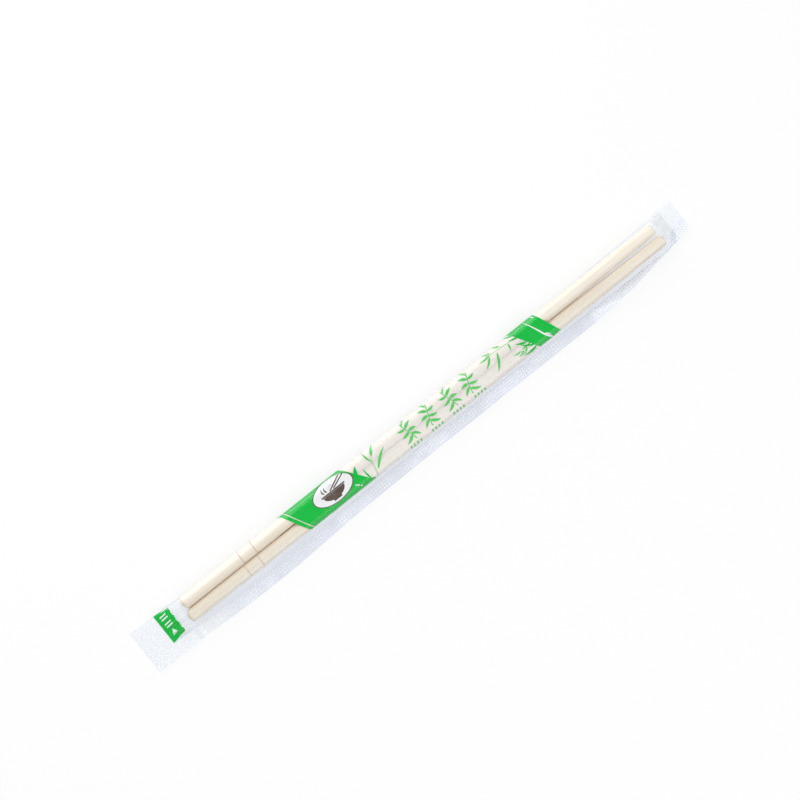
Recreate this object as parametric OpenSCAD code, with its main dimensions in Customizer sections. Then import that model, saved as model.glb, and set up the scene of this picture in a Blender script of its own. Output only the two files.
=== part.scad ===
// A pair of round bamboo chopsticks sealed in its clear printed film sleeve.
// The sleeve is one web of film, folded into a tube around the two sticks.
// A fin seal closes it along one side, and a crimped seal closes each end.
// +X runs from the thick ends to the tips, the fin lies on the -Y side, and
// the underside of the film rests on Z = 0.

/* [Sticks] */
// Length of the shorter stick
stick_len = 200; // [150:1:260]
// How much longer the other stick was cut
extra_len = 1.4; // [0:0.1:3]
// How far the shorter stick's thick end sits behind the longer one's
head_step = 0.8; // [0:0.1:3]
// Diameter of the straight shank
stick_d = 5; // [4.2:0.1:7]
// Diameter of the cut tip
tip_d = 4; // [2:0.1:4.2]
// Length of the tapered part, up to the tip
taper_len = 38; // [20:1:80]
// Length of the rounded dome on the thick end
dome_len = 1.7; // [0.8:0.1:3]
// Length of the bevel that breaks the edge of the cut tip
tip_bevel = 0.3; // [0.1:0.05:0.6]
// Distance of the first scored ring from the thick end
ring_at = 25.2; // [10:0.1:50]
// Distance between the two scored rings
ring_pitch = 5.5; // [2:0.1:12]
// Width of a scored ring
ring_w = 0.4; // [0.2:0.05:1]
// Depth of a scored ring
ring_depth = 0.12; // [0.05:0.01:0.3]
// Gap between the two shanks, which lie side by side
stick_gap = 0.06; // [0.02:0.01:0.5]

/* [Sleeve] */
// Thickness of the film
film_t = 0.06; // [0.04:0.01:0.1]
// Clearance between the film and the sticks
film_gap = 0.12; // [0.08:0.01:0.3]
// Length of film past the longer stick's thick end, seal included
head_room = 19.2; // [14:0.1:40]
// Length of film past the longer stick's tip, seal included
tip_room = 9.6; // [8:0.1:30]
// Length of the crimped seal at the thick ends
head_seal = 9.8; // [4:0.1:12]
// Length of the crimped seal at the tips
tip_seal = 5; // [3:0.1:7]
// Height above the ground at which the film is pressed into the two end seals
seal_lift = 1.7; // [1:0.1:2.4]
// How far the seal at the thick ends droops to its free edge
head_droop = 0.6; // [0:0.1:0.9]
// How far the seal at the tips lifts to its free edge
tip_curl = 0.4; // [0:0.1:1]
// How much wider the pressed flat tube is than the pair, on each side
seal_flare = 0.5; // [0:0.1:2]
// Further flare towards the tips, on the side away from the fin
tip_flare = 0.6; // [0:0.1:1.5]
// How far the fin's side draws in from the tips to the sleeve's end
tip_slant = 2.4; // [0:0.1:3]

/* [Fin seal] */
// Width of the fin
fin_w = 4.3; // [3:0.1:7]
// Distance from the pair's side to the root of the fin
root_out = 0.8; // [0.5:0.1:3]
// Height of the fin's root above the ground
root_lift = 0.8; // [0.6:0.05:1.2]
// Height of the fin's free edge above the ground
edge_lift = 0.4; // [0.3:0.05:0.6]
// Height of the waves along the fin's free edge
edge_wave = 0.15; // [0:0.05:0.15]
// Length of one wave along the fin
fin_wave = 36; // [20:1:80]
// Size of the loose bulge in the film beside the fin
bulge = 1.5; // [0:0.1:3]
// Distance of the bulge from the sleeve's end
bulge_at = 48; // [30:1:90]
// Reach of the bulge to either side
bulge_reach = 30; // [15:1:50]
// Length over which the fin stands up beside the tips
fin_rise = 42; // [20:1:60]
// Angle of the fin where the tips end, just short of upright, in degrees
fin_upright = 88; // [60:1:90]
// Radius of the fold where the fin turns over
fold_r = 0.17; // [0.16:0.01:0.3]

/* [Folds] */
// Sag of the film into the valley between the sticks
valley = 0.08; // [0:0.01:0.1]
// Depth of the gathers between the seals and the sticks
gather = 0.28; // [0:0.01:0.35]
// Number of gathers across the film
gather_count = 4; // [2:1:6]
// Share of the dome that the film covers before it leaves for the seal
dome_cover = 0.3; // [0.2:0.05:0.5]

/* [Hidden] */

// Steps of the turned sticks, then of the faceted film across and along
round_faces = 64;
dome_steps = 10;
side_steps = 7;
heel_steps = 3;
crest_steps = 5;
slope_steps = 3;
bend_steps = 3;
flap_steps = 2;
seal_steps = 2;
head_tent_steps = 7;
shank_steps = 20;
rise_steps = 9;
tip_tent_steps = 6;

long_len = stick_len + extra_len;
pair_len = max(long_len, head_step + stick_len);
sleeve_len = head_room + pair_len + tip_room;
stick_r = stick_d / 2;
tip_r = tip_d / 2;
shank_y = (stick_d + stick_gap) / 2;
bore_r = stick_r + film_gap;
axis_z = film_t + bore_r;

// Half the hairline between two layers of film that are sealed face to face
nip = film_t / 4;

// Places along the sleeve, measured from its end beyond the thick ends
tip_at = head_room + pair_len;
taper_at = tip_at - taper_len;
tent_head = head_room + (1 - dome_cover) * dome_len;
tent_tip = tip_at + film_gap;
tip_seal_at = sleeve_len - tip_seal;
rise_at = tip_at - fin_rise;

function mix(a, b, w) = a + (b - a) * w;
function share(v, low, high) = min(1, max(0, (v - low) / (high - low)));
function ease(w) = w * w * (3 - 2 * w);

// How far the tube is pressed flat: 0 along the sticks, 1 in the seals
function flatness(x) = share(-x, -tent_head, -head_seal) + share(x, tent_tip, tip_seal_at);

// Height of the tube's roof inside, which follows the tapered sticks
function roof(x) = axis_z + film_gap + mix(stick_r, tip_r, share(x, taper_at, tip_at));

// The root of the fin, and the side of the tube away from it
function loose(x) = bulge * exp(-pow((x - bulge_at) / bulge_reach, 2));
function root_y(x) =
    -(shank_y + stick_r + root_out + loose(x) + seal_flare * share(-x, -tent_head, -head_seal));
function seal_z(x) =
    seal_lift
    - head_droop * pow(share(-x, -head_seal, 0), 2)
    + tip_curl * pow(share(x, tip_seal_at, sleeve_len), 2);
function root_z(x) = mix(root_lift, seal_z(x), flatness(x));

// How far the root draws in where the tube is flat
function drawn_in(x) = tip_slant * pow(share(x, tip_at, sleeve_len), 2);
function side_y(x) =
    shank_y + bore_r + seal_flare * flatness(x) + tip_flare * ease(share(x, taper_at, sleeve_len));

// Angle of the fin: level, then upright beside the tips, then turned over
function fin_angle(x) =
    let (drop = root_lift - edge_lift + edge_wave * sin(360 * min(x, rise_at) / fin_wave),
         level = -asin(drop / fin_w) * (1 - flatness(x)))
    x < tip_at ? mix(level, fin_upright, share(x, rise_at, tip_at))
               : mix(fin_upright, 180, share(x, tip_at, tip_seal_at));

// An arc in the section, from one angle to another. Below the middle, up is -1.
function arc(y, z, r, from, to, steps, up) =
    [for (i = [0:steps]) let (a = mix(from, to, i / steps)) [y + r * cos(a), z + up * r * sin(a)]];
function between(a, b, steps) = [for (i = [1:steps]) mix(a, b, i / (steps + 1))];
function runs(path) =
    [for (i = 0, s = 0; i < len(path);
          s = s + (i + 1 < len(path) ? norm(path[i + 1] - path[i]) : 0), i = i + 1) s];

// The upper or lower half of the tube's section, from its side to the fin's
// root. The film hugs both sticks, and leaves the nearer one in a straight slope.
function half_tube(x, skin, up) =
    let (r = (roof(x) - film_t) / 2 + skin,
         z = film_t + r - skin,
         near_y = -shank_y,
         far_y = side_y(x) + skin - r,
         root = [root_y(x) + (skin > 0 ? 0 : 2 * film_t), root_lift + up * (nip + skin)],
         away = [root[0] - near_y, up * (root[1] - z)],
         aim = atan2(away[1], away[0]) + (away[1] < 0 ? 360 : 0),
         leave = aim - acos(r / norm(away)),
         dip = up > 0 ? valley * (1 - flatness(x)) : 0)
    concat(
        arc(far_y, z, r, 0, 90, side_steps, up),
        [for (i = [1:crest_steps])
            let (w = i / (crest_steps + 1))
            [mix(far_y, near_y, w), z + up * r - dip * sin(180 * w)]],
        arc(near_y, z, r, 90, leave, up > 0 ? side_steps : heel_steps, up),
        between([near_y + r * cos(leave), z + up * r * sin(leave)], root, slope_steps),
        [root]
    );

// The same half, partly pressed flat. The film turns into the flat seal along
// straight lines, and gathers into shallow folds on the way.
function pressed(x, skin, up) =
    let (path = half_tube(x, skin, up),
         run = runs(half_tube(x, 0, up)),
         last = len(path) - 1,
         press = flatness(x),
         side = [path[0][0], seal_z(x)],
         root = [path[last][0] + drawn_in(x), seal_z(x)])
    [for (i = [0:last])
        let (w = run[i] / run[last],
             flat = mix(side, root, w) + [0, i == 0 ? 0 : up * (nip + skin)],
             fold = gather * 2 * press * (1 - press) * sin(180 * w)
                    * (1 + cos(360 * gather_count * w)))
        mix(path[i], flat, press) + [0, up * fold]];

// One face of a layer of the fin, from its root to its free edge. The fin turns
// in a fold of fixed length beside its root, and is straight beyond it.
function fin_face(x, off) =
    let (turn = fin_angle(x),
         fold_len = PI * fold_r,
         marks = concat(
             [for (i = [0:bend_steps]) fold_len * i / bend_steps],
             [for (i = [1:flap_steps]) mix(fold_len, fin_w, i / flap_steps)]))
    [for (s = marks)
        let (bent = min(s, fold_len),
             a = turn * bent / fold_len,
             half = a * PI / 360,
             chord = bent * (abs(half) < 0.001 ? 1 : sin(a / 2) / half),
             free = s - bent)
        [root_y(x) + drawn_in(x) * flatness(x) - chord * cos(a / 2) - free * cos(a) + off * sin(a),
         root_z(x) + chord * sin(a / 2) + free * sin(a) + off * cos(a)]];

function reversed(list) = [for (i = [len(list) - 1:-1:0]) list[i]];
function without_last(list) = [for (i = [0:1:len(list) - 2]) list[i]];
function without_first(list) = [for (i = [1:1:len(list) - 1]) list[i]];

// One face of the web, from one free edge of the fin round the tube to the other
function outer_face(x) = concat(
    reversed(fin_face(x, nip + film_t)),
    reversed(without_last(pressed(x, film_t, 1))),
    without_first(without_last(pressed(x, film_t, -1))),
    fin_face(x, -nip - film_t)
);
function inner_face(x) = concat(
    reversed(without_first(fin_face(x, nip))),
    reversed(pressed(x, 0, 1)),
    without_first(pressed(x, 0, -1)),
    without_first(fin_face(x, -nip))
);

// Stations along the sleeve
function steps(from, to, count) = [for (i = [1:count]) mix(from, to, i / count)];
free_stations = concat(
    steps(head_seal, tent_head, head_tent_steps),
    steps(tent_head, rise_at, shank_steps),
    steps(rise_at, tip_at, rise_steps),
    steps(tip_at, tip_seal_at, tip_tent_steps)
);
stations = concat(
    [0],
    steps(0, head_seal, seal_steps),
    free_stations,
    steps(tip_seal_at, sleeve_len, seal_steps)
);
web_rings = [for (x = stations) concat(outer_face(x), reversed(inner_face(x)))];

// The origin is under the middle of the sleeve
film_ys = [for (ring = web_rings) for (p = ring) p[0]];
mid_y = (min(film_ys) + max(film_ys)) / 2;

// A stick turned about X, from its thick end at 0 to its tip
module stick(length) {
    dome = [
        for (i = [0:dome_steps])
            let (a = 90 * i / dome_steps)
            [stick_r * sin(a), dome_len * (1 - cos(a))]
    ];
    rings = [
        for (k = [0:1])
            let (z = ring_at + k * ring_pitch)
            each [[stick_r, z - ring_w / 2], [stick_r - ring_depth, z], [stick_r, z + ring_w / 2]]
    ];
    tip = [
        [stick_r, length - taper_len],
        [tip_r, length - tip_bevel],
        [tip_r - tip_bevel, length],
        [0, length]
    ];
    rotate([0, 90, 0])
        rotate_extrude($fn = round_faces)
            polygon(concat(dome, rings, tip));
}

module long_stick() {
    color("#efe0c4")
        translate([head_room - sleeve_len / 2, -shank_y - mid_y, axis_z])
            stick(long_len);
}

module short_stick() {
    color("#efe0c4")
        translate([head_room + head_step - sleeve_len / 2, shank_y - mid_y, axis_z])
            stick(stick_len);
}

// One web of film, lofted through the rings at the stations
module film_sleeve() {
    n = len(web_rings[0]);
    last = len(web_rings) - 1;
    points = [
        for (k = [0:last]) for (p = web_rings[k])
            [stations[k] - sleeve_len / 2, p[0] - mid_y, p[1]]
    ];
    half = n / 2;
    side = len(fin_face(0, 0)) + len(half_tube(0, 0, 1)) - 2;
    // Each quad is cut from its corner nearer the side to the one nearer the
    // fin's free edge, so that the two faces of a layer never cross in a twist
    skin = [
        for (k = [0:last - 1]) for (i = [0:n - 1])
            let (a = k * n + i,
                 b = k * n + (i + 1) % n,
                 to_side = i < side || (i >= half && i < n - 1 - side))
            each to_side ? [[a, b, a + n], [b, b + n, a + n]]
                         : [[a, b, b + n], [a, b + n, a + n]]
    ];
    caps = [
        for (i = [0:half - 2])
            let (j = n - 1 - i, e = last * n)
            each [
                [i, j, i + 1], [i + 1, j, j - 1],
                [e + i, e + i + 1, e + j], [e + i + 1, e + j - 1, e + j]
            ]
    ];
    color("#dfe4ea", 0.4)
        polyhedron(points, concat(skin, caps));
}

long_stick();
short_stick();
film_sleeve();
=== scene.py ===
"""A pair of round bamboo chopsticks sealed in its clear printed film sleeve.

The two sticks are the part's own solids with a bamboo finish. The sleeve is
drawn again as one fine web of film, from the same formulas as the part's
source, with crimped seals, creases and print. Lengths are in millimetres until
mesh_piece() makes a mesh of them.
"""

import math

import bpy
import numpy as np
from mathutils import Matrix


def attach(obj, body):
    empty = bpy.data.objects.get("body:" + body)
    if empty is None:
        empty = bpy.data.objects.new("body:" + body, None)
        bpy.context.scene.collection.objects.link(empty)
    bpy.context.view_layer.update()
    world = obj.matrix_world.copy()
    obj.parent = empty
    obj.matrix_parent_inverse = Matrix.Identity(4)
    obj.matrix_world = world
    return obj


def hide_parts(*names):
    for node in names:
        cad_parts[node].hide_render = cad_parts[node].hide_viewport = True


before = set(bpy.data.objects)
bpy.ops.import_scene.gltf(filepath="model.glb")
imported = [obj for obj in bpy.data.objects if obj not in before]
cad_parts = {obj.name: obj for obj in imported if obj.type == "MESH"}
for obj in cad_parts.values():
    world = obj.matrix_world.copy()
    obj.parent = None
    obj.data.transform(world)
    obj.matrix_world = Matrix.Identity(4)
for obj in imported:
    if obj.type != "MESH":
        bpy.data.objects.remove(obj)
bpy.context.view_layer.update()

# Camera: straight above the sleeve, turned so that it lies across the view

VIEW_WIDTH = 0.2656
VIEW_CENTRE = (0.00392, 0.01303)
VIEW_TURN = -38.6
LENS = 100
SENSOR = 36
STICK_HEIGHT = 0.0027

camera = bpy.data.objects.new("camera", bpy.data.cameras.new("camera"))
camera.data.lens = LENS
camera.data.sensor_width = SENSOR
camera.location = (*VIEW_CENTRE, STICK_HEIGHT + VIEW_WIDTH * LENS / SENSOR)
camera.rotation_euler = (0, 0, math.radians(VIEW_TURN))
bpy.context.collection.objects.link(camera)
bpy.context.scene.camera = camera

# Sizes of the sticks and the sleeve in millimetres, as in the part's source

MM = 0.001
STICK_R, TIP_R, SHANK_Y = 2.5, 2.0, 2.53
LONG_LEN, HEAD_STEP = 201.4, 0.8
TAPER_LEN, DOME_LEN = 38, 1.7
RING_AT, RING_PITCH = 25.2, 5.5

FILM_T, FILM_GAP = 0.06, 0.12
NIP = FILM_T / 4
HEAD_ROOM, TIP_ROOM, HEAD_SEAL, TIP_SEAL = 19.2, 9.6, 9.8, 5
SEAL_LIFT, HEAD_DROOP, TIP_CURL = 1.7, 0.6, 0.4
SEAL_FLARE, TIP_FLARE, TIP_SLANT = 0.5, 0.6, 2.4
FIN_W, ROOT_OUT, ROOT_LIFT, EDGE_LIFT = 4.3, 0.8, 0.8, 0.4
EDGE_WAVE, FIN_WAVE = 0.15, 36
BULGE, BULGE_AT, BULGE_REACH = 1.5, 48, 30
FIN_RISE, FIN_UPRIGHT, FOLD_R = 42, 88, 0.17
VALLEY, GATHER, GATHER_COUNT, DOME_COVER = 0.08, 0.28, 4, 0.3

AXIS_Z = FILM_T + STICK_R + FILM_GAP
SLEEVE_LEN = HEAD_ROOM + LONG_LEN + TIP_ROOM
MID_Y = -2.63965
FIN_EDGE = -11.589
TIP_AT = HEAD_ROOM + LONG_LEN
TAPER_AT = TIP_AT - TAPER_LEN
TENT_HEAD = HEAD_ROOM + (1 - DOME_COVER) * DOME_LEN
TENT_TIP = TIP_AT + FILM_GAP
TIP_SEAL_AT = SLEEVE_LEN - TIP_SEAL
RISE_AT = TIP_AT - FIN_RISE

draw = np.random.default_rng(11)


def mix(a, b, w):
    return a + (b - a) * w


def share(v, low, high):
    """How far v has come from low to high, between 0 and 1."""
    return np.clip((v - low) / (high - low), 0, 1)


def ease(w):
    return w * w * (3 - 2 * w)


# The sleeve's form at a station x, measured from its end beyond the heads


def flatness(x):
    """How far the tube is pressed flat: 0 along the sticks, 1 in the seals."""
    return share(-x, -TENT_HEAD, -HEAD_SEAL) + share(x, TENT_TIP, TIP_SEAL_AT)


def roof(x):
    """Height of the tube's crest over the table."""
    return AXIS_Z + FILM_GAP + mix(STICK_R, TIP_R, share(x, TAPER_AT, TIP_AT))


def root_y(x):
    """Where the fin's root lies, across the pair."""
    loose = BULGE * np.exp(-(((x - BULGE_AT) / BULGE_REACH) ** 2))
    flare = SEAL_FLARE * share(-x, -TENT_HEAD, -HEAD_SEAL)
    return -(SHANK_Y + STICK_R + ROOT_OUT + loose + flare)


def seal_z(x):
    """Height of the end seals, which droop at the heads and curl at the tips."""
    droop = HEAD_DROOP * share(-x, -HEAD_SEAL, 0) ** 2
    return SEAL_LIFT - droop + TIP_CURL * share(x, TIP_SEAL_AT, SLEEVE_LEN) ** 2


def side_y(x):
    """Where the sleeve's side away from the fin lies, across the pair."""
    flare = SEAL_FLARE * flatness(x) + TIP_FLARE * ease(share(x, TAPER_AT, SLEEVE_LEN))
    return SHANK_Y + STICK_R + FILM_GAP + flare


def drawn_in(x):
    """How far the fin's side is drawn in past the tips."""
    return TIP_SLANT * share(x, TIP_AT, SLEEVE_LEN) ** 2


def fin_angle(x):
    """The fin is level, then stands up beside the tips, then turns over."""
    wave = EDGE_WAVE * np.sin(2 * np.pi * np.minimum(x, RISE_AT) / FIN_WAVE)
    level = -np.arcsin((ROOT_LIFT - EDGE_LIFT + wave) / FIN_W) * (1 - flatness(x))
    upright = math.radians(FIN_UPRIGHT)
    rising = mix(level, upright, share(x, RISE_AT, TIP_AT))
    return np.where(x < TIP_AT, rising, mix(upright, np.pi, share(x, TIP_AT, TIP_SEAL_AT)))


def along(start, end, count):
    """Rows of count numbers, from start to end, for arrays of starts and ends."""
    w = np.linspace(0, 1, count)
    return mix(np.asarray(start)[:, None], np.asarray(end)[:, None], w)


def half_tube(x, up, steps):
    """Half the section at each station, from its side to the fin's root.

    The film hugs both sticks and leaves the nearer one in a straight slope.
    steps are those of the side, the crest, the near side and the slope.
    """
    side, crest, near, slope = steps
    r = roof(x) / 2
    z = FILM_T / 2 + r
    far_y = side_y(x) + FILM_T / 2 - r
    root = root_y(x) + FILM_T, np.full_like(x, ROOT_LIFT + up * (NIP + FILM_T / 2))
    away = root[0] + SHANK_Y, up * (root[1] - z)
    aim = np.arctan2(away[1], away[0]) % (2 * np.pi)
    leave = aim - np.arccos(r / np.hypot(*away))
    zero, quarter = np.zeros_like(x), np.full_like(x, np.pi / 2)
    a = along(zero, quarter, side + 1)
    b = along(quarter, leave, near + 1)
    w = np.linspace(0, 1, crest + 2)[1:-1]
    dip = (VALLEY if up > 0 else 0) * (1 - flatness(x))
    rr, zz = r[:, None], z[:, None]
    left = -SHANK_Y + r * np.cos(leave), z + up * r * np.sin(leave)
    ys = [
        far_y[:, None] + rr * np.cos(a),
        mix(far_y[:, None], -SHANK_Y, w),
        -SHANK_Y + rr * np.cos(b),
        along(left[0], root[0], slope + 2)[:, 1:],
    ]
    zs = [
        zz + up * rr * np.sin(a),
        zz + up * rr - dip[:, None] * np.sin(np.pi * w),
        zz + up * rr * np.sin(b),
        along(left[1], root[1], slope + 2)[:, 1:],
    ]
    return np.stack([np.hstack(ys), np.hstack(zs)], axis=2)


def runs(path):
    """Distance along each row of points."""
    gaps = np.linalg.norm(np.diff(path, axis=1), axis=2)
    return np.hstack([np.zeros((len(path), 1)), np.cumsum(gaps, axis=1)])


# Creases from an end seal to the sticks: where they meet the seal and the
# sticks, as shares of the way round the half, then height and width
HEAD_CREASES = (
    (0.10, 0.16, 0.34, 0.45), (0.27, 0.20, -0.22, 0.5), (0.34, 0.33, 0.30, 0.35),
    (0.52, 0.47, 0.26, 0.4), (0.60, 0.62, -0.24, 0.5), (0.74, 0.66, 0.30, 0.4),
    (0.88, 0.80, 0.26, 0.45),
)
TIP_CREASES = (
    (0.05, 0.14, 0.42, 0.4), (0.16, 0.22, 0.40, 0.3), (0.30, 0.25, -0.25, 0.45),
    (0.44, 0.42, 0.30, 0.35), (0.58, 0.55, -0.22, 0.5), (0.70, 0.64, 0.32, 0.4),
    (0.86, 0.80, 0.28, 0.4),
)


def creased(x, w, width, up):
    """Height of the sharp creases in the film between a seal and the sticks."""
    height = np.zeros_like(w)
    ends = (
        (HEAD_CREASES, share(-x, -TENT_HEAD, -HEAD_SEAL)),
        (TIP_CREASES, share(x, TENT_TIP, TIP_SEAL_AT)),
    )
    for creases, press in ends:
        swell = (4 * press * (1 - press)) ** 0.8
        for k, (at_seal, at_stick, rise, reach) in enumerate(creases):
            line = mix(at_stick, at_seal, press) + (0 if up > 0 else 0.04 * math.sin(2.1 * k))
            off = np.hypot((w - line[:, None]) * width[:, None] / reach, 0.25)
            height += (1.5 * swell * rise)[:, None] * np.exp(-off)
    return height * np.sin(np.pi * w) ** 0.5


# Slack in the film: height, and waves to the millimetre along and across it
SLACK = [
    (draw.uniform(0.5, 1), draw.uniform(0.05, 0.5), draw.uniform(-0.5, 0.5), draw.uniform(0, 6.3))
    for _ in range(9)
]


def slack(x, q):
    """Soft uneven waves between about -1 and 1."""
    total = sum(a * np.sin(kx * x + kq * q + phase) for a, kx, kq, phase in SLACK)
    return total / 3


# Heights of the slack on the slope beside the fin and round the tube, and of
# the fin's puckers
SLOPE_SLACK, TUBE_SLACK, PUCKER, DEEPEST_PUCKER = 0.10, 0.015, 0.12, 0.1

# Steps round the half tubes: side, crest, near side, slope. Then the fin's
TOP_STEPS, LOW_STEPS = (15, 13, 18, 12), (6, 4, 6, 5)
BEND_STEPS, FLAP_STEPS = 4, 8
FIN_POINTS = BEND_STEPS + FLAP_STEPS

# Crimp marks: from one to the next along the fin, and from row to row
MARK_PITCH, MARK_ROWS = 1.036, 0.94
# The tag's print begins and ends at these stations
TAG_FROM, TAG_TO = 9.9, 15.75
# The fin's crimp is bright as far as the first of these stations, bare to the
# next, and strong again to the last
BRIGHT_END, BARE_END, DASHES_END = 17.1, 19.3, 22.6


def tube_half(x, up):
    """Half the tube with its seals, gathers and creases."""
    path = half_tube(x, up, TOP_STEPS if up > 0 else LOW_STEPS)
    run = runs(path)
    w = run / run[:, -1:]
    press = flatness(x)[:, None]
    flat_z = np.broadcast_to(seal_z(x)[:, None], w.shape) + up * (NIP + FILM_T / 2) * (w > 0)
    flat_y = mix(path[:, :1, 0], path[:, -1:, 0] + drawn_in(x)[:, None], w)
    rise = GATHER * 2 * press * (1 - press) * np.sin(np.pi * w)
    rise = rise * (1 + np.cos(2 * np.pi * GATHER_COUNT * w)) / 2
    rise += creased(x, w, run[:, -1], up)
    free = np.sin(np.pi * share(w, 0.62, 1)) * (1 - press)
    rise += SLOPE_SLACK * free * slack(1.7 * x[:, None], 9 * w)
    rise += TUBE_SLACK * (1 - press) * slack(x[:, None], run) * (w > 0)
    z = mix(path[..., 1], flat_z, press) + up * rise
    return np.stack([mix(path[..., 0], flat_y, press), z], axis=2)


def fin_layer(x, off):
    """One layer of the fin, from its root to its free edge."""
    turn, fold = fin_angle(x)[:, None], np.pi * FOLD_R
    bend, flap = np.linspace(0, fold, BEND_STEPS + 1), np.linspace(fold, FIN_W, FLAP_STEPS + 1)
    s = np.hstack([bend, flap[1:]])
    bent = np.minimum(s, fold)
    a = turn * bent / fold
    chord = bent * np.sinc(a / 2 / np.pi)
    free = s - bent
    pucker = PUCKER * (free / FIN_W) * slack(2.2 * x[:, None], 1.3 * s)
    pucker = pucker * (1 - flatness(x)[:, None])
    off = off + np.maximum(pucker, -DEEPEST_PUCKER)
    root_z = mix(ROOT_LIFT, seal_z(x), flatness(x))[:, None]
    y = (root_y(x) + drawn_in(x) * flatness(x))[:, None]
    return np.stack(
        [
            y - chord * np.cos(a / 2) - free * np.cos(a) + off * np.sin(a),
            root_z + chord * np.sin(a / 2) + free * np.sin(a) + off * np.cos(a),
        ],
        axis=2,
    )


def web(x):
    """The film's section at each station, from one free edge of the fin to the other.

    Returns its points and how far round the web each is from the side: q is
    positive on top and negative below, and goes on into the fin.
    """
    off = NIP + FILM_T / 2
    top, low = tube_half(x, 1), tube_half(x, -1)
    ring = np.hstack([fin_layer(x, off)[:, ::-1], top[:, ::-1], low[:, 1:], fin_layer(x, -off)])
    side = FIN_POINTS + top.shape[1]
    run = runs(ring)
    ring[..., 0] = np.maximum(ring[..., 0], FIN_EDGE)
    ring[..., 1] = np.maximum(ring[..., 1], FILM_T / 3)
    return ring, run[:, side : side + 1] - run


def in_frame(x, section):
    """Points at stations x of places (y, z) in the section, in the part's frame."""
    return np.stack([x - SLEEVE_LEN / 2, section[..., 0] - MID_Y, section[..., 1]], axis=-1)


# Points that on_web() places at a time
BATCH = 4000


def on_web(x, q, lift):
    """Points at stations x and distances q round the web, lifted off the film."""
    x, q, lift = (np.ravel(v).astype(float) for v in np.broadcast_arrays(x, q, lift))
    points = np.empty((len(x), 3))
    for start in range(0, len(x), BATCH):
        part = slice(start, start + BATCH)
        ring, at = web(x[part])
        last = ring.shape[1] - 2
        i = np.clip((at > q[part, None]).sum(axis=1) - 1, 0, last)
        row = np.arange(len(i))
        w = ((at[row, i] - q[part]) / np.maximum(at[row, i] - at[row, i + 1], 1e-9))[:, None]
        tangent = np.gradient(ring, axis=1)
        tangent = mix(tangent[row, i], tangent[row, i + 1], np.clip(w, 0, 1))
        tangent /= np.maximum(np.linalg.norm(tangent, axis=1, keepdims=True), 1e-9)
        normal = np.stack([-tangent[:, 1], tangent[:, 0]], axis=1)
        place = mix(ring[row, i], ring[row, i + 1], w) + lift[part, None] * normal
        points[part] = in_frame(x[part], place)
    return points


# Where the tube is plain, q for a place across the pair as seen from above
PLAIN_AT = np.array([120.0])
PLAIN_RING, PLAIN_Q = (v[0] for v in web(PLAIN_AT))
PLAIN_TOP = (PLAIN_Q > 0) & (PLAIN_RING[:, 0] > root_y(PLAIN_AT)[0] + 0.1)


def across(y):
    """Distance round the web of a place y across the pair, seen from above."""
    return np.interp(y, PLAIN_RING[PLAIN_TOP, 0], PLAIN_Q[PLAIN_TOP])


# The print ends at this place beside the fin's slope, and under the tube
PRINT_NEAR_Y, PRINT_UNDER = -4.88, 1.7
NEAR_Q = float(across(PRINT_NEAR_Y))
UNDER_Q = float(PLAIN_Q[-FIN_POINTS - 1]) + PRINT_UNDER

# Meshes


def grid_faces(rows, columns, first=0):
    """Quads of a grid of points that is stored row after row."""
    i = (np.arange(rows - 1)[:, None] * columns + np.arange(columns - 1)).ravel() + first
    return np.column_stack([i, i + 1, i + columns + 1, i + columns])


def mesh_piece(name, points, faces, finish, web_place):
    """A piece made of points in millimetres, which rides on the part.

    web_place says where each point lies on the web, and becomes the UV map.
    """
    mesh = bpy.data.meshes.new(name)
    mesh.from_pydata((points * MM).tolist(), [], [list(map(int, f)) for f in faces])
    mesh.polygons.foreach_set("use_smooth", [True] * len(mesh.polygons))
    layer = mesh.uv_layers.new(name="web")
    corners = np.empty(len(mesh.loops), int)
    mesh.loops.foreach_get("vertex_index", corners)
    layer.uv.foreach_set("vector", (web_place[corners] * MM).astype(np.float32).ravel())
    mesh.materials.append(finish)
    piece = bpy.data.objects.new(name, mesh)
    bpy.context.collection.objects.link(piece)
    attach(piece, "root")
    return piece


# Shader helpers


def node(tree, kind, sockets=(), **settings):
    """Adds a shader node. A socket takes a plain value, or the output that feeds it."""
    made = tree.nodes.new("ShaderNode" + kind)
    for setting, value in settings.items():
        setattr(made, setting, value)
    for key, value in dict(sockets).items():
        if isinstance(value, bpy.types.NodeSocket):
            tree.links.new(value, made.inputs[key])
        else:
            made.inputs[key].default_value = value
    return made


def calc(tree, operation, a, b=0.0, c=0.0, clamp=False):
    made = node(tree, "Math", {0: a, 1: b, 2: c}, operation=operation, use_clamp=clamp)
    return made.outputs[0]


def ramp(tree, value, low, high, to_low=0.0, to_high=1.0):
    """value taken smoothly from the range low to high into another range."""
    sockets = {"Value": value, "From Min": low, "From Max": high}
    sockets.update({"To Min": to_low, "To Max": to_high})
    made = node(tree, "MapRange", sockets, interpolation_type="SMOOTHSTEP")
    return made.outputs["Result"]


def blend(tree, part, a, b):
    """Colour a, with part of it taken over by colour b."""
    made = node(tree, "Mix", {0: part, 6: a, 7: b}, data_type="RGBA")
    return made.outputs[2]


def noise(tree, place, scale, detail=2.0, rough=0.5):
    """Soft noise, with so many waves to the metre along each axis of place."""
    stretched = node(tree, "Mapping", {"Vector": place, "Scale": scale}).outputs["Vector"]
    sockets = {"Vector": stretched, "Scale": 1.0, "Detail": detail, "Roughness": rough}
    return node(tree, "TexNoise", sockets).outputs["Fac"]


def less_in_shadow_rays(tree, value, cut):
    """value, cut down for shadow rays, so that light passes to what lies under it."""
    shadow = node(tree, "LightPath").outputs["Is Shadow Ray"]
    return calc(tree, "MULTIPLY", value, calc(tree, "MULTIPLY_ADD", shadow, -cut, 1.0))


def web_uv(tree):
    """Places on the web in metres, from the UV map."""
    return node(tree, "UVMap", uv_map="web").outputs["UV"]


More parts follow.
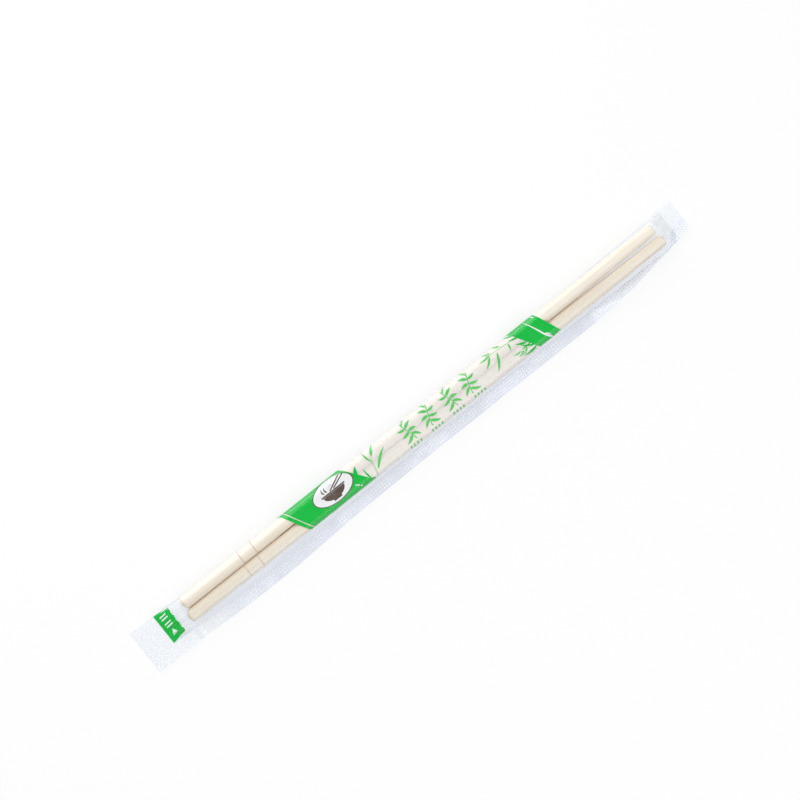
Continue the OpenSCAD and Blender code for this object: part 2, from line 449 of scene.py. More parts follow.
def rgb(r, g, b):
    """A display colour of 0 to 255 as the linear colour that a shader takes."""
    values = [v / 255 for v in (r, g, b)]
    return (*[v / 12.92 if v < 0.04045 else ((v + 0.055) / 1.055) ** 2.4 for v in values], 1.0)


def group(name, inputs, outputs):
    """An empty shader group with named sockets. Returns its tree, inputs and outputs."""
    tree = bpy.data.node_groups.new(name, "ShaderNodeTree")
    for in_out, sockets in (("INPUT", inputs), ("OUTPUT", outputs)):
        for title, kind in sockets.items():
            tree.interface.new_socket(title, in_out=in_out, socket_type="NodeSocket" + kind)
    given = tree.nodes.new("NodeGroupInput").outputs
    return tree, given, tree.nodes.new("NodeGroupOutput").inputs


def placed(tree, effect, sockets):
    """Places a shader group in a material, and returns its outputs."""
    return node(tree, "Group", sockets, node_tree=effect).outputs


def material(name):
    """An empty material. Returns it, its tree and the socket for its surface."""
    made = bpy.data.materials.new(name)
    made.use_nodes = True
    made.node_tree.nodes.clear()
    out = made.node_tree.nodes.new("ShaderNodeOutputMaterial")
    return made, made.node_tree, out.inputs["Surface"]


# Shared effects


def make_film_ripple():
    """Faint creases and ripples that film has everywhere, and print on it too."""
    sockets = {"Web": "Vector", "Depth": "Float"}
    tree, given, out = group("film_ripple", sockets, {"Height": "Float"})
    long_waves = noise(tree, given["Web"], (90, 700, 1), 3.0)
    fine = noise(tree, given["Web"], (900, 1500, 1))
    height = calc(tree, "MULTIPLY_ADD", fine, 0.35, long_waves)
    tree.links.new(calc(tree, "MULTIPLY", height, given["Depth"]), out["Height"])
    return tree


def make_bamboo_grain_and_painted_shade():
    """Fibres and darker strands along the stick, a soft tone, end grain and scored rings, with
    painted shade on the side towards the other stick and along the line where they touch.

    Rings are at First ring and Second ring. Inward is 1 or -1, the side on which
    the other stick lies, and the last input says how much darker that side is painted, as painted
    shade.
    """
    floats = ("First ring", "Second ring", "Inward", "Shade")
    inputs = {"Place": "Vector", "Facing": "Vector", "Pale": "Color", "Palest": "Color"}
    inputs.update(dict.fromkeys(floats, "Float"))
    outputs = {"Colour": "Color", "Roughness": "Float", "Height": "Float"}
    tree, given, out = group("bamboo_grain_and_painted_shade", inputs, outputs)
    place = given["Place"]
    along_stick = node(tree, "SeparateXYZ", {0: place}).outputs["X"]
    facing = node(tree, "SeparateXYZ", {0: given["Facing"]}).outputs

    tone = noise(tree, place, (9, 420, 420))
    fibre = noise(tree, place, (35, 3800, 3800), 3.0, 0.6)
    strand = noise(tree, place, (14, 1500, 1500), 2.0, 0.65)
    colour = blend(tree, ramp(tree, tone, 0.3, 0.7), given["Pale"], given["Palest"])
    colour = blend(tree, ramp(tree, fibre, 0.35, 0.75, 0.0, 0.35), colour, rgb(243, 224, 194))
    colour = blend(tree, ramp(tree, strand, 0.58, 0.74, 0.0, 0.45), colour, rgb(230, 198, 154))

    bundles = node(tree, "TexVoronoi", {"Vector": place, "Scale": 2600.0})
    dots = ramp(tree, bundles.outputs["Distance"], 0.42, 0.2)
    end = ramp(tree, calc(tree, "ABSOLUTE", facing["X"]), 0.9, 0.995)
    colour = blend(tree, calc(tree, "MULTIPLY", end, 0.35), colour, rgb(236, 208, 164))
    end_dots = calc(tree, "MULTIPLY", calc(tree, "MULTIPLY", dots, end), 0.6)
    colour = blend(tree, end_dots, colour, rgb(168, 122, 76))

    scored = []
    for title in ("First ring", "Second ring"):
        off = calc(tree, "ABSOLUTE", calc(tree, "SUBTRACT", along_stick, given[title]))
        scored.append(ramp(tree, off, 0.0002, 0.00008))
    rings = calc(tree, "MULTIPLY", calc(tree, "MAXIMUM", *scored), 0.6)
    colour = blend(tree, rings, colour, rgb(196, 150, 112))

    # Painted shade: the sides that face each other are painted darker as far as the sticks touch
    towards = calc(tree, "MULTIPLY", facing["Y"], given["Inward"])
    together = ramp(tree, along_stick, 0.07, 0.1, 1.0, 0.15)
    shade = calc(tree, "MULTIPLY", ramp(tree, towards, -0.9, 0.9, 0.0, given["Shade"]), together)
    colour = blend(tree, shade, colour, rgb(214, 200, 178))
    # Painted shade: the line where the sticks touch is painted a warm darker brown
    between = calc(tree, "MULTIPLY", ramp(tree, towards, 0.86, 0.99, 0.0, 0.4), together)
    colour = blend(tree, between, colour, rgb(226, 178, 132))

    tree.links.new(colour, out["Colour"])
    tree.links.new(ramp(tree, fibre, 0.3, 0.7, 0.34, 0.46), out["Roughness"])
    tree.links.new(calc(tree, "MULTIPLY_ADD", strand, 0.6, fibre), out["Height"])
    return tree


def make_uneven_ink():
    """Ink that is paler in clouds and specks. Cloud says where it is thin."""
    inputs = {"Web": "Vector", "Ink": "Color", "Paler": "Color", "Mottle": "Float"}
    tree, given, out = group("uneven_ink", inputs, {"Colour": "Color", "Cloud": "Float"})
    cloud = noise(tree, given["Web"], (350, 350, 1), 3.0, 0.6)
    speck = noise(tree, given["Web"], (4500, 4500, 1), 1.0)
    clouds = ramp(tree, cloud, 0.35, 0.75, 0.0, given["Mottle"])
    specks = ramp(tree, speck, 0.7, 0.8, 0.0, calc(tree, "MULTIPLY", given["Mottle"], 2.0))
    colour = blend(tree, clouds, given["Ink"], given["Paler"])
    tree.links.new(blend(tree, specks, colour, given["Paler"]), out["Colour"])
    tree.links.new(cloud, out["Cloud"])
    return tree


film_ripple = make_film_ripple()
bamboo_grain_and_painted_shade = make_bamboo_grain_and_painted_shade()
uneven_ink = make_uneven_ink()

# Materials


def bamboo(name, head, inward, gloss, shade, pale, palest):
    """Pale turned and sanded bamboo, for a stick whose thick end is at x = head, with painted
    shade on the side towards the other stick.
    """
    made, tree, surface = material(name)
    sockets = {
        "Place": node(tree, "TexCoord").outputs["Object"],
        "Facing": node(tree, "NewGeometry").outputs["Normal"],
        "Pale": pale,
        "Palest": palest,
        "First ring": (head + RING_AT) * MM,
        "Second ring": (head + RING_AT + RING_PITCH) * MM,
        "Inward": inward,
        "Shade": shade,
    }
    grain = placed(tree, bamboo_grain_and_painted_shade, sockets)
    bump = node(tree, "Bump", {"Height": grain["Height"], "Strength": 0.35, "Distance": 0.00004})
    wood = {
        "Base Color": grain["Colour"],
        "Roughness": grain["Roughness"],
        "Normal": bump.outputs[0],
        "Specular IOR Level": gloss,
    }
    tree.links.new(node(tree, "BsdfPrincipled", wood).outputs[0], surface)
    return made


# How white the film is at its dusty places, at its creases, folds and layers, where
# the white is partly a painted highlight, and at its sealed and crimped places
DUST_WHITE, CREASE_AND_HIGHLIGHT_WHITE, SEAL_WHITE, FIN_WHITE = 0.07, 0.8, 0.31, 0.09
# How much of a mirror's gloss it has, and the most that it can have
GLOSS_SHARE, MOST_GLOSS = 0.7, 0.12
# How much less solid film, crimp and thin ink are to the light that falls on them
FILM_LETS_BY, CRIMP_LETS_BY, INK_LETS_BY = 0.6, 0.85, 0.8


def clear_film():
    """Thin clear film, milky where it is crimped or creased, with painted highlights whitened in
    along its creases and folds, and the fin veiled darker partly as a painted shadow.
    """
    made, tree, surface = material("film")
    web_place = web_uv(tree)
    masks = ("seal", "veil", "fin", "crease_and_highlight")
    seal, veil, fin, crease_and_highlight = (
        node(tree, "Attribute", attribute_name=name).outputs["Fac"] for name in masks
    )
    dust = ramp(tree, noise(tree, web_place, (160, 500, 1), 4.0, 0.6), 0.4, 0.75)
    white = calc(tree, "MULTIPLY", calc(tree, "MULTIPLY", dust, veil), DUST_WHITE)
    # Creases, folds and layers are whitened, partly as painted highlights
    white = calc(tree, "MULTIPLY_ADD", crease_and_highlight, CREASE_AND_HIGHLIGHT_WHITE, white)
    white = calc(tree, "MULTIPLY_ADD", seal, SEAL_WHITE, white)
    white = calc(tree, "MULTIPLY_ADD", fin, FIN_WHITE, white)

    ripple = placed(tree, film_ripple, {"Web": web_place, "Depth": 1.0})["Height"]
    bump = node(tree, "Bump", {"Height": ripple, "Strength": 0.4, "Distance": 0.00006})
    mirror = node(tree, "Fresnel", {"IOR": 1.5, "Normal": bump.outputs[0]}).outputs[0]
    gloss = calc(tree, "MINIMUM", calc(tree, "MULTIPLY", mirror, GLOSS_SHARE), MOST_GLOSS)
    solid = calc(tree, "ADD", gloss, white, clamp=True)
    milky = calc(tree, "DIVIDE", white, solid, clamp=True)
    # The veiled parts tint what lies behind darker; on the fin this is partly a painted shadow of
    # the sticks
    tint = blend(tree, veil, rgb(253, 254, 255), rgb(243, 245, 250))
    clear = node(tree, "BsdfTransparent", {"Color": tint})
    shine = {
        "Base Color": rgb(248, 251, 255),
        "Metallic": calc(tree, "SUBTRACT", 1.0, milky),
        "Roughness": 0.17,
        "Normal": bump.outputs[0],
    }
    shine = node(tree, "BsdfPrincipled", shine)
    solid = less_in_shadow_rays(tree, solid, FILM_LETS_BY)
    both = node(tree, "MixShader", {0: solid, 1: clear.outputs[0], 2: shine.outputs[0]})
    tree.links.new(both.outputs[0], surface)
    return made


def crimp_white_and_glints():
    """Small white points and lines where the film is whitened, also used for painted highlights
    along creases and for painted glints.
    """
    made, tree, surface = material("crimp_white_and_glints")
    uneven = noise(tree, web_uv(tree), (120, 260, 1))
    cover = ramp(tree, uneven, 0.35, 0.65, 0.65, 0.95)
    cover = less_in_shadow_rays(tree, cover, CRIMP_LETS_BY)
    clear = node(tree, "BsdfTransparent", {"Color": rgb(255, 255, 255)})
    shine = {
        "Base Color": rgb(253, 253, 254),
        "Roughness": 0.2,
        "IOR": 1.9,
        "Specular IOR Level": 1.0,
    }
    shine = node(tree, "BsdfPrincipled", shine)
    both = node(tree, "MixShader", {0: cover, 1: clear.outputs[0], 2: shine.outputs[0]})
    tree.links.new(both.outputs[0], surface)
    return made


def ink(name, tint, cover=1.0, mottle=0.12):
    """Printing ink under the film. Ink that covers less than 1 lets light through."""
    made, tree, surface = material(name)
    web_place = web_uv(tree)
    paler = (*[mix(v, 1.0, 0.35) for v in tint[:3]], 1.0)
    sockets = {"Web": web_place, "Ink": tint, "Paler": paler, "Mottle": mottle}
    uneven = placed(tree, uneven_ink, sockets)
    ripple = placed(tree, film_ripple, {"Web": web_place, "Depth": 1.0})["Height"]
    bump = node(tree, "Bump", {"Height": ripple, "Strength": 0.3, "Distance": 0.00005})
    print_ = {
        "Base Color": uneven["Colour"],
        "Roughness": 0.5,
        "Specular IOR Level": 0.05,
        "Normal": bump.outputs[0],
    }
    if cover < 1:
        thick = ramp(tree, uneven["Cloud"], 0.3, 0.7, cover - 0.04, cover + 0.04)
        print_["Alpha"] = less_in_shadow_rays(tree, thick, INK_LETS_BY)
    tree.links.new(node(tree, "BsdfPrincipled", print_).outputs[0], surface)
    return made


film = clear_film()
# The crimp white also makes the painted highlights along creases and the painted glints
crimped = crimp_white_and_glints()
green_ink = ink("green_ink", rgb(0, 189, 64), mottle=0.03)
leaf_ink = ink("leaf_ink", rgb(92, 204, 96), mottle=0.1)
white_ink = ink("white_ink", rgb(244, 241, 237), cover=0.7, mottle=0.2)
solid_white_ink = ink("solid_white_ink", rgb(241, 240, 240), mottle=0.1)
dark_ink = ink("dark_ink", rgb(92, 76, 68))

# The sticks

HEAD_X = HEAD_ROOM - SLEEVE_LEN / 2
# For each stick: thick end, side of the other stick, gloss, shade, two tones.
# The long stick lies on the side away from the window lamp, and its two tones
# are painted darker than the short one's, as painted shade.
STICKS = (
    ("long", HEAD_X, 1, 0.3, 0.6, rgb(241, 230, 213), rgb(244, 237, 224)),
    ("short", HEAD_X + HEAD_STEP, -1, 0.9, 0.2, rgb(250, 239, 221), rgb(253, 246, 233)),
)
for name, *finish in STICKS:
    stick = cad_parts[name + "_stick"]
    stick.data.materials.clear()
    stick.data.materials.append(bamboo(name + "_bamboo", *finish))

# The film

STATIONS = np.concatenate([
    np.arange(0, HEAD_SEAL, 0.16),
    np.arange(HEAD_SEAL, TENT_HEAD + 1, 0.14),
    np.arange(TENT_HEAD + 1, TIP_AT - 1, 0.45),
    np.arange(TIP_AT - 1, TIP_SEAL_AT, 0.12),
    np.linspace(TIP_SEAL_AT, SLEEVE_LEN, 32),
])


def film_masks(ring, q):
    """How far each point of the film is sealed, veiled (on the fin partly a painted shadow),
    plain fin, and creased or painted with a highlight.
    """
    x = np.broadcast_to(STATIONS[:, None], q.shape)
    near, flat, above = -ring[..., 0], flatness(x), q > 0
    fin = np.zeros(q.shape[1])
    fin[:FIN_POINTS] = fin[-FIN_POINTS:] = 1
    tube = 1 - fin
    over_tag = share(x, TAG_FROM - 0.5, TAG_FROM + 0.1)
    over_tag = (over_tag - share(x, TAG_TO - 0.15, TAG_TO + 0.65)) * above * (q < 12)
    fin_seal = 1 - share(x, BRIGHT_END - 0.3, BRIGHT_END + 0.3)
    seal = np.maximum(share(flat, 0.75, 1), fin * fin_seal)

    # Veiled darker where more than one layer of film lies: in the fin, in its slope and at the
    # bottom. On the fin this also stands in for the sticks' shadow, as a painted shadow.
    slope = share(near, 4.35, 4.75) * above * tube
    layers = np.maximum.reduce([fin * share(x, 20, 40), 0.8 * (q < 0) * tube, 0.8 * slope])
    layers = layers * (1 - 0.6 * share(x, RISE_AT, TIP_AT))
    bare = share(x, BRIGHT_END, BRIGHT_END + 0.4)
    bare = bare * (1 - share(x, BARE_END - 0.4, BARE_END + 0.2))
    layers = np.maximum.reduce([layers, 0.55 * bare * fin, 0.15 * share(flat, 0, 0.6)])
    veil = mix(layers, mix(0.15, 0, fin), seal)

    # White creases and painted highlights: whitened where the film bends sharply
    # in the tents, partly as a painted highlight; a painted highlight along the fold
    # at the side of the tube above the fin's slope; and white over the layers at the tips
    bend = np.linalg.norm(np.diff(ring, 2, axis=1), axis=2)
    bend = bend / np.maximum(np.diff(q, axis=1)[:, 1:] ** 2, 1e-4)
    sharp = np.zeros_like(q)
    sharp[:, 1:-1] = share(bend, 1.2, 3.2)
    sharp = sharp * (flat > 0.02) * (flat < 0.98) * (fin == 0) * (1 - over_tag)
    printed = share(x, 66, 70) - share(x, 172, 175)
    # Painted highlight: a white line along the fold at the side of the tube above the fin's slope
    painted_fold_highlight = share(near, mix(4.3, 4.8, printed), mix(4.7, 5.0, printed))
    painted_fold_highlight = painted_fold_highlight * (1 - share(near, 5.0, 5.35)) * above * tube
    painted_fold_highlight = 0.5 * painted_fold_highlight * (1 - share(flat, 0, 0.3))
    at_tips = 0.22 * share(flat, 0, 0.4) * (x > TIP_AT) * share(near, -0.5, 1.5) * above

    tents = 0.5 * share(flat, 0.02, 0.4) * tube
    seal = np.maximum(seal, tents) * (1 - over_tag * tube)
    return {
        "seal": seal * (1 + 0.35 * fin * fin_seal),
        "veil": veil * (1 - over_tag),
        "fin": fin * (1 - seal),
        "crease_and_highlight": np.maximum.reduce([sharp, painted_fold_highlight, at_tips]),
    }


def film_web():
    """The whole sleeve as one web of film."""
    ring, q = web(STATIONS)
    x = np.broadcast_to(STATIONS[:, None], q.shape)
    points, faces = in_frame(x, ring).reshape(-1, 3), grid_faces(*q.shape)
    web_place = np.column_stack([x.ravel(), q.ravel()])
    piece = mesh_piece("sleeve_web", points, faces, film, web_place)
    for name, values in film_masks(ring, q).items():
        layer = piece.data.attributes.new(name, "FLOAT", "POINT")
        layer.data.foreach_set("value", values.astype(np.float32).ravel())
    piece.data.set_sharp_from_angle(angle=math.radians(60))
    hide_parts("film_sleeve")


film_web()

# Crimp marks

CORNERS = 8
MARK_LIFT = 0.03
# How far the middle of a mark stands up, for each millimetre of its half length
FLAT_RAISE, RAISE = 0.1, 0.28


def marks(name, places, lift):
    """Small raised lens-shaped marks on the film: x, q, half length, half width."""
    x, q, long_, wide = np.array(places).T
    turns = np.arange(CORNERS) * 2 * np.pi / CORNERS
    xs = np.column_stack([x] + [x + long_ * np.cos(a) for a in turns])
    qs = np.column_stack([q] + [q + wide * np.sin(a) for a in turns])
    lifts = np.full(xs.shape, lift)
    in_seal = (x < BRIGHT_END) | (flatness(x) > 0.9)
    lifts[:, 0] += np.where(in_seal, FLAT_RAISE, RAISE) * long_
    faces = [
        (i, i + 1 + k, i + 1 + (k + 1) % CORNERS)
        for i in range(0, xs.size, CORNERS + 1)
        for k in range(CORNERS)
    ]
    web_place = np.column_stack([xs.ravel(), qs.ravel()])
    mesh_piece(name, on_web(xs, qs, lifts), faces, crimped, web_place)


def fin_marks():
    """Rows of crimp marks on both sides of the fin, here strong and there faint."""
    q = web(STATIONS)[1]
    top_root, low_root = q[:, FIN_POINTS], q[:, -FIN_POINTS - 1]
    top, low = [], []
    for x in np.arange(0.5, SLEEVE_LEN - 0.4, MARK_PITCH):
        if BRIGHT_END < x < BARE_END:
            continue
        strength = 0.95 if x < DASHES_END else 0.6 + 0.4 * float(slack(3.1 * x, 0.7))
        for s in np.arange(0.35, FIN_W - 0.2, MARK_ROWS):
            size = np.clip(strength + draw.normal(0, 0.07), 0, 1)
            if size < 0.15:
                continue
            size = 0.19 + 0.12 * size
            wide = min(size * draw.uniform(1.0, 1.15), FIN_W - 0.06 - s)
            top.append((x, np.interp(x, STATIONS, top_root) + s, size, wide))
            low.append((x, np.interp(x, STATIONS, low_root) - s, size, wide))
    marks("fin_marks_upper", top, MARK_LIFT)
    marks("fin_marks_lower", low, MARK_LIFT)


def seal_marks():
    """A fine uneven grid of crimp marks over both end seals."""
    places = []
    for start, end in ((0.4, HEAD_SEAL - 0.2), (TIP_SEAL_AT + 0.4, SLEEVE_LEN - 0.3)):
        for x in np.arange(start, end, 0.7):
            for q in np.arange(0.5, 11.3, 0.72):
                size = draw.uniform(0.04, 0.13)
                places.append((x, q, size, size * 1.3))
    marks("seal_marks", places, MARK_LIFT)


fin_marks()
seal_marks()

# Print


def through(points, at):
    """Places along a line through points, where at counts the points passed."""
    points = np.array(points, float)
    return np.column_stack([np.interp(at, np.arange(len(points)), v) for v in points.T])


# Strips of print stop this far from the middle, where the tube's sides fall away
STRIP_REACH = 5.25


class Decal:
    """Patches of one colour as one mesh, which follows the film at a depth under it."""

    def __init__(self, depth):
        self.depth, self.x, self.q, self.faces, self.count = depth, [], [], [], 0

    def patch(self, x, q):
        """Adds a grid of places on the web."""
        rows, columns = x.shape
        self.faces.append(grid_faces(rows, columns, self.count))
        self.x.append(x.ravel())
        self.q.append(q.ravel())
        self.count += x.size

    def strip(self, centre, half_width):
        """Adds a strip about a line of places (x, y), seen from above."""
        step = np.gradient(centre, axis=0)
        normal = np.column_stack([-step[:, 1], step[:, 0]])
        normal /= np.maximum(np.linalg.norm(normal, axis=1, keepdims=True), 1e-9)
        w = half_width[:, None] * np.linspace(-1, 1, 5)
        x = centre[:, :1] + normal[:, :1] * w
        y = centre[:, 1:] + normal[:, 1:] * w
        inside = (np.abs(y) < STRIP_REACH).all(axis=1)
        if inside.sum() > 2:
            self.patch(x[inside], across(y[inside]))

    def leaf(self, base, tip, width, bend=0.12):
        """A slim leaf from its base to its tip."""
        base, tip = np.array(base, float), np.array(tip, float)
        length = np.linalg.norm(tip - base)
        t = np.linspace(0, 1, max(8, int(length / 0.35)))[:, None]
        turn = np.array([-(tip - base)[1], (tip - base)[0]])
        centre = base + (tip - base) * t + turn * bend * np.sin(np.pi * t)
        t = t[:, 0]
        self.strip(centre, width / 2 * np.sin(np.pi * t**0.75) ** 0.9 + 0.02)

    def leaves(self, places, bend):
        """Slim leaves: the base, the tip and the width of each."""
        for base, tip, width in places:
            self.leaf(base, tip, width, bend)

    def stem(self, points, width):
        """A stem through a few points."""
        line = through(points, np.linspace(0, len(points) - 1, 12 * len(points)))
        self.strip(line, np.full(len(line), width / 2))

    def disc(self, centre, radii, rings=16, spokes=64):
        """An oval field."""
        a = np.linspace(0, 2 * np.pi, spokes + 1)
        r = np.linspace(0.02, 1, rings + 1)[:, None]
        x, y = centre[0] + radii[0] * r * np.cos(a), centre[1] + radii[1] * r * np.sin(a)
        self.patch(x, across(y))

    def make(self, name, finish, slot):
        """Makes the mesh of all that was added."""
        x, q = np.concatenate(self.x), np.concatenate(self.q)
        points, faces = on_web(x, q, -self.depth), np.vstack(self.faces)
        mesh_piece(name, points, faces, finish, np.column_stack([x, q]))


# White points on the crumpled film beside the tips, as for marks(): painted glints
PAINTED_GLINTS = [(221.8, 1.3, 0.5, 0.35), (222.9, 2.0, 0.45, 0.4), (223.4, 8.6, 0.4, 0.3)]
# How far towards each seal its crease lines run: at the heads as far as the tag
HEAD_LINES, TIP_LINES = 0.38, 0.98


def crease_and_highlight_lines():
    """Fine white lines along the sharp creases between the seals and the sticks, partly whitened
    film and partly painted highlights, and white points as painted glints.
    """
    lines = Decal(-0.05)
    t = np.linspace(0, 1, 26)[:, None]
    for creases, stick_end, seal_end, reach in (
        (HEAD_CREASES, TENT_HEAD, HEAD_SEAL, HEAD_LINES),
        (TIP_CREASES, TENT_TIP, TIP_SEAL_AT, TIP_LINES),
    ):
        for at_seal, at_stick, _, _ in creases:
            for shift in (0.0, draw.uniform(0.03, 0.07)):
                press = reach * mix(draw.uniform(0.05, 0.35), draw.uniform(0.75, 1.0), t)
                x = mix(stick_end, seal_end, press)
                half = web(x[:, 0])[1][:, FIN_POINTS][:, None]
                width = draw.uniform(0.07, 0.16) * np.sin(np.pi * t) ** 0.7
                wander = shift + 0.008 * np.sin(9 * t + draw.uniform(0, 6))
                q = (mix(at_stick, at_seal, press) + wander) * half
                q = q + width * np.linspace(-1, 1, 3)
                lines.patch(np.broadcast_to(x, q.shape), q)
    lines.make("crease_and_highlight_lines", crimped, "film")
    # Painted glints: white points on the crumpled film beside the tips
    marks("painted_glints", PAINTED_GLINTS, 0.05)


crease_and_highlight_lines()


def slanted(decal, left, right):
    """A field right round the tube between two slanting edges: x at the middle, slope."""
    q = np.linspace(UNDER_Q, NEAR_Q, 110)[:, None]
    middle = float(across(0.0))
    start = left[0] + left[1] * (q - middle)
    end = right[0] + right[1] * (q - middle)
    w = np.linspace(0, 1, max(3, int((right[0] - left[0]) / 0.5)))
    decal.patch(mix(start, end, w), np.broadcast_to(q, (len(q), len(w))))


# The bands slant by this much for each millimetre round the tube
SLANT = 0.53

# The print lies in layers under the film, and the white field is the deepest
white_field = Decal(0.036)
slanted(white_field, (66.8, SLANT), (173.0, SLANT))

bands = Decal(0.018)
slanted(bands, (66.5, SLANT), (67.9, SLANT))
slanted(bands, (68.25, SLANT), (92.6, 0.76))
slanted(bands, (163.4, 0.6), (173.2, 0.42))


def band_grass(decal):
    """Blades that grow from the bands' inner edges into the white field."""
    decal.leaves((
        ((91.5, -0.4), (91.0, 1.8), 1.0), ((91.9, -0.8), (93.5, 2.6), 1.3),
        ((95.7, -4.0), (95.1, 0.1), 0.6), ((95.6, -4.2), (96.9, -4.8), 0.6),
    ), 0.05)
    decal.leaves((
        ((165.9, -3.6), (160.6, -3.9), 0.75), ((165.6, -3.0), (162.0, -0.6), 0.5),
        ((163.9, -0.7), (160.2, 1.0), 0.7), ((164.6, -1.6), (161.0, -1.6), 0.5),
        ((163.0, 2.4), (159.0, 3.4), 0.6), ((162.2, 3.9), (158.3, 5.0), 0.6),
    ), 0.06)


def sprigs(decal):
    """Bamboo sprigs at both ends of the white field."""
    decal.stem([(97.7, -5.0), (98.5, -2.4), (99.0, 0.2)], 0.18)
    decal.stem([(99.0, 0.2), (99.6, 1.9)], 0.14)
    decal.leaves((
        ((99.0, 0.1), (97.9, 4.9), 0.6), ((99.9, 1.6), (102.3, 4.9), 0.85),
        ((99.3, -2.9), (105.2, 1.8), 0.9),
    ), 0.05)
    decal.stem([(163.0, 2.4), (157.5, 3.1), (151.2, 3.5), (149.8, 3.9)], 0.16)
    decal.stem([(166.2, -3.3), (162.4, -2.3), (160.4, -2.3)], 0.14)
    decal.leaves((
        ((151.4, 3.5), (146.8, 3.5), 0.6), ((151.0, 3.1), (147.7, 0.3), 0.7),
        ((153.9, 2.7), (150.2, -2.9), 0.85), ((158.4, 2.7), (157.9, 0.1), 0.55),
        ((152.0, 4.0), (149.0, 4.9), 0.5), ((155.8, 3.9), (153.4, 5.0), 0.6),
        ((160.6, -2.0), (157.4, -1.6), 0.45), ((161.4, -2.4), (158.7, -3.2), 0.5),
        ((162.9, -2.2), (160.0, -3.7), 0.5), ((163.4, -2.1), (161.3, 0.2), 0.4),
    ), 0.06)


# A twig about 6 by 7 mm: places along its stem, then its leaves
TWIG_STEM = ((1.0, -3.0), (0.5, -0.6), (-0.4, 1.9), (-1.2, 4.2))
TWIG_LEAVES = (
    ((0.55, -0.9), (-2.7, -2.9), 0.95), ((0.5, -0.5), (3.2, -2.6), 0.9),
    ((0.2, 0.5), (-3.0, -0.4), 0.9), ((0.2, 0.6), (3.2, 0.3), 1.0),
    ((-0.4, 1.9), (-3.2, 2.4), 0.85), ((-0.3, 1.8), (2.6, 3.4), 1.0),
    ((-0.9, 3.2), (0.9, 4.8), 0.7),
)


def leaf_emblem(decal, at, turn):
    """A bamboo twig with slim drooping leaves. A turn of -1 mirrors it."""
    decal.stem([(at + turn * x, y) for x, y in TWIG_STEM], 0.3)
    for base, tip, width in TWIG_LEAVES:
        base, tip = (at + turn * base[0], base[1]), (at + turn * tip[0], tip[1])
        decal.leaf(base, tip, width, 0.08 * turn)


def dash_row(decal):
    """A row of short dashes under the emblems, in groups of four."""
    for start in (112.2, 121.2, 130.2, 139.2):
        for k in range(4):
            x = start + 1.35 * k
            decal.stem([(x, -4.7), (x + 0.25, -3.9)], 0.55)


leaf_prints = Decal(0.018)
band_grass(bands)
sprigs(leaf_prints)
for k, x in enumerate((114.6, 123.3, 132.0, 140.3)):
    leaf_emblem(leaf_prints, x, 1 if k % 2 == 0 else -1)
dash_row(leaf_prints)

ROUNDEL = (83.0, 0.9)


def bowl_badge(edge, pale, dark):
    """A white oval with a bowl and a pair of chopsticks, in the left band."""
    x, y = ROUNDEL
    edge.disc(ROUNDEL, (8.0, 4.3))
    pale.disc(ROUNDEL, (7.65, 3.95))
    a = np.linspace(0, np.pi, 25)[None, :]
    r = np.linspace(0.0, 1.0, 12)[:, None]
    dark.patch(x + 4.3 * r * np.cos(a), across(y - 0.35 - 2.5 * r * np.sin(a)))
    dark.stem([(x - 4.8, y - 0.05), (x + 4.8, y - 0.05)], 0.5)
    dark.stem([(x - 1.6, y - 3.0), (x + 1.6, y - 3.0)], 0.55)
    for dx in (-0.6, 0.9):
        dark.stem([(x + dx - 0.3, y + 0.4), (x + dx + 5.2, y + 2.9 - 0.25 * dx)], 0.42)
    for dx in (-3.0, -1.9):
        dark.leaf((x + dx, y + 0.6), (x + dx + 0.1, y + 2.7), 0.5, 0.25)


badge_edge, badge, badge_print = Decal(0.014), Decal(0.010), Decal(0.006)
bowl_badge(badge_edge, badge, badge_print)

# The pale line in the right band, and its half width as it goes down
STREAK = (
    (166.7, 4.9), (167.6, 3.2), (168.5, 1.3), (169.3, -0.6),
    (170.0, -2.4), (170.9, -3.8), (172.0, -4.9),
)
STREAK_AT, STREAK_HALF = (0, 1.5, 3, 5, 6), (0.08, 0.17, 0.26, 0.3, 0.12)


def brush_streaks(decal):
    """Pale dry-brush lines in the bands."""
    at = np.linspace(0, len(STREAK) - 1, 60)
    decal.strip(through(STREAK, at), np.interp(at, STREAK_AT, STREAK_HALF))
    decal.leaf((170.2, -2.2), (171.8, -4.6), 0.4)
    decal.leaf((169.6, 5.0), (170.4, 4.0), 0.3)
    for place in ((90.2, -2.6), (90.8, -3.1), (91.5, -3.8)):
        decal.disc(place, (0.4, 0.22), 2, 10)


brush_streaks(badge)


def opening_tag(green, pale):
    """The tag beside the heads that shows where to tear, with an arrow and bars."""
    y = np.linspace(0, 1, 90)[:, None]
    end = TAG_TO + 0.12 * np.sin(23 * y) + 0.1 * np.sin(61 * y + 1)
    x = mix(TAG_FROM, end, np.linspace(0, 1, 36)[None, :])
    q = mix(0.45 + 0.9 * share(x, 12, 15.8), 11.6 + 0.2 * share(x, 11, 15.8), y)
    green.patch(x, q)
    for q0 in (2.0, 3.1, 4.9, 6.0):
        a, b = np.meshgrid(np.linspace(11.3, 14.0, 8), np.linspace(q0, q0 + 0.45, 3))
        pale.patch(a, b)
    t = np.linspace(0, 1, 8)[:, None]
    w = np.linspace(-1, 1, 7)[None, :]
    pale.patch(12.6 + 1.2 * w * t, 7.7 + 2.1 * t + 0 * w)


opening_tag(bands, badge)

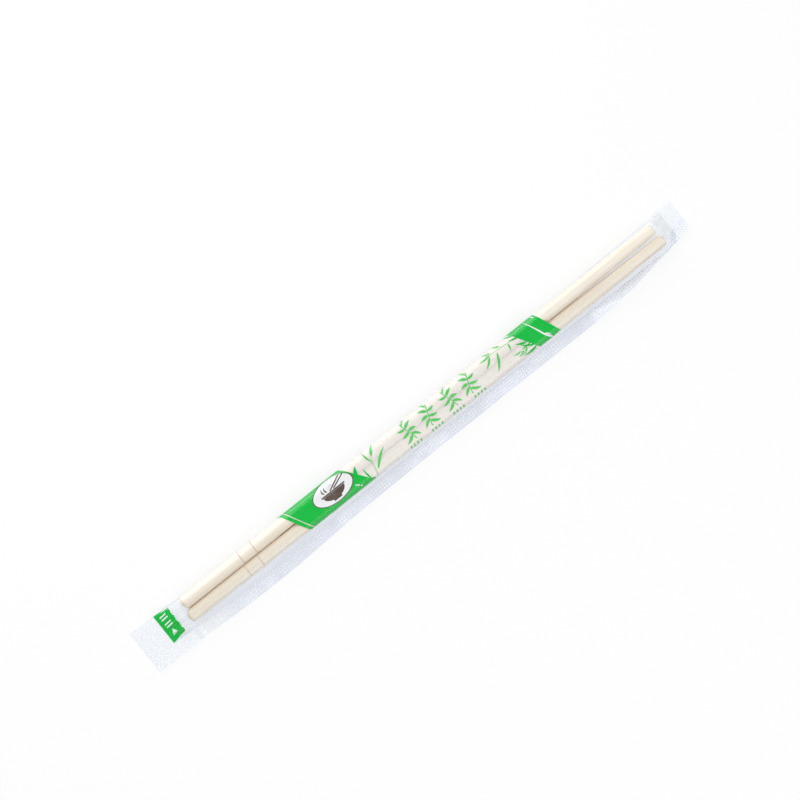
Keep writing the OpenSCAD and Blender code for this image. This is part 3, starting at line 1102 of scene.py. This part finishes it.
white_field.make("white_print", white_ink, "white_print")
bands.make("green_print", green_ink, "green_print")
leaf_prints.make("leaf_print", leaf_ink, "green_print")
badge_edge.make("badge_edge", dark_ink, "dark_print")
badge.make("pale_print", solid_white_ink, "white_print")
badge_print.make("badge_print", dark_ink, "dark_print")

# Table and light


TABLE_HALF = 3.0


def table_top():
    """A white table: bright to the eye and in reflections, matt for all other light."""
    mesh = bpy.data.meshes.new("table")
    corners = [(-1, -1), (1, -1), (1, 1), (-1, 1)]
    mesh.from_pydata([(TABLE_HALF * x, TABLE_HALF * y, 0) for x, y in corners], [], [range(4)])
    made, tree, surface = material("table_white")
    seen = node(tree, "LightPath").outputs
    direct = calc(tree, "MAXIMUM", seen["Is Camera Ray"], seen["Is Glossy Ray"])
    direct = calc(tree, "MAXIMUM", direct, seen["Is Transmission Ray"])
    matt = node(tree, "BsdfPrincipled", {"Base Color": (0.96, 0.96, 0.96, 1), "Roughness": 0.9})
    glow = node(tree, "Emission", {"Color": (1, 1, 1, 1), "Strength": 1.0})
    part = calc(tree, "MULTIPLY", direct, 0.75)
    both = node(tree, "MixShader", {0: part, 1: matt.outputs[0], 2: glow.outputs[0]})
    tree.links.new(both.outputs[0], surface)
    mesh.materials.append(made)
    table = bpy.data.objects.new("table", mesh)
    bpy.context.collection.objects.link(table)


def area_lamp(name, place, size, radiance):
    """A square lamp that looks at the object, with its brightness per unit of its face."""
    lamp = bpy.data.lights.new(name, "AREA")
    lamp.size = size
    lamp.energy = radiance * size * size * math.pi
    made = bpy.data.objects.new(name, lamp)
    made.location = place
    made.rotation_euler = made.location.to_track_quat("Z", "Y").to_euler()
    bpy.context.collection.objects.link(made)


table_top()
area_lamp("window", (-0.08, 0.5, 0.37), 0.72, 1.95)
area_lamp("fill", (0.1, -0.4, 0.54), 0.6, 1.75)

world = bpy.data.worlds.new("studio")
world.use_nodes = True
sky = world.node_tree.nodes["Background"].inputs
sky["Color"].default_value = (1, 1, 1, 1)
sky["Strength"].default_value = 0.42
bpy.context.scene.world = world
bpy.context.scene.view_settings.view_transform = "Standard"
bpy.context.scene.cycles.transparent_max_bounces = 24
